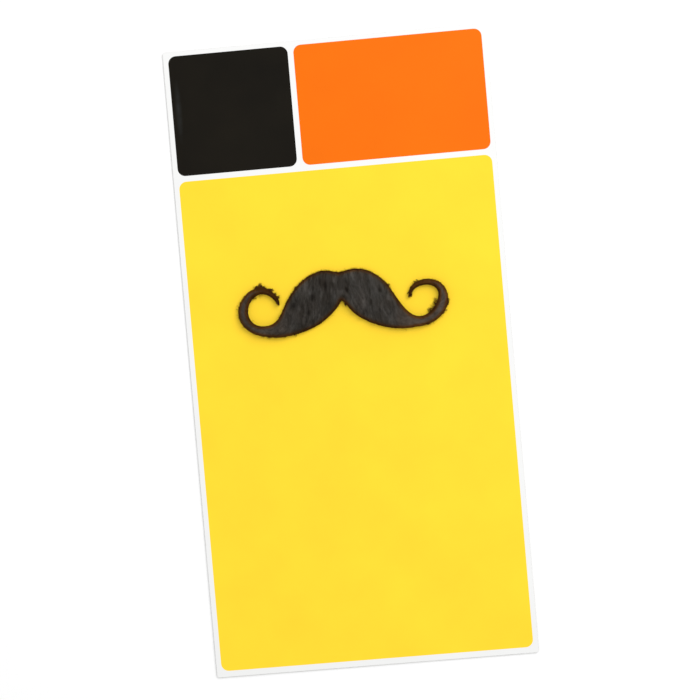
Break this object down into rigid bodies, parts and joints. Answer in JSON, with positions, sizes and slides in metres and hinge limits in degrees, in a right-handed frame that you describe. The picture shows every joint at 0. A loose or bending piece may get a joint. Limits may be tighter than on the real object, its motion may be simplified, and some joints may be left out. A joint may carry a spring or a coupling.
{
  "type": "fake moustache on backing card",
  "caption": "Black fur stick-on handlebar moustache with curled ends, die-cut and stuck on its flat printed backing card.",
  "frame": {"origin": "middle of the card's back, on the surface that it lies on", "axes": "+X to the right across the card, +Y to the card's top edge, +Z out of its printed face"},
  "size_m": [0.1142, 0.2222, 0.0037],
  "materials": {
    "coated_card": "satin",
    "adhesive": "gloss",
    "black_fur": "matte"
  },
  "bodies": {
    "root": {"card": "coated_card", "adhesive_film": "adhesive", "moustache_fur": "black_fur"}
  },
  "joints": []
}
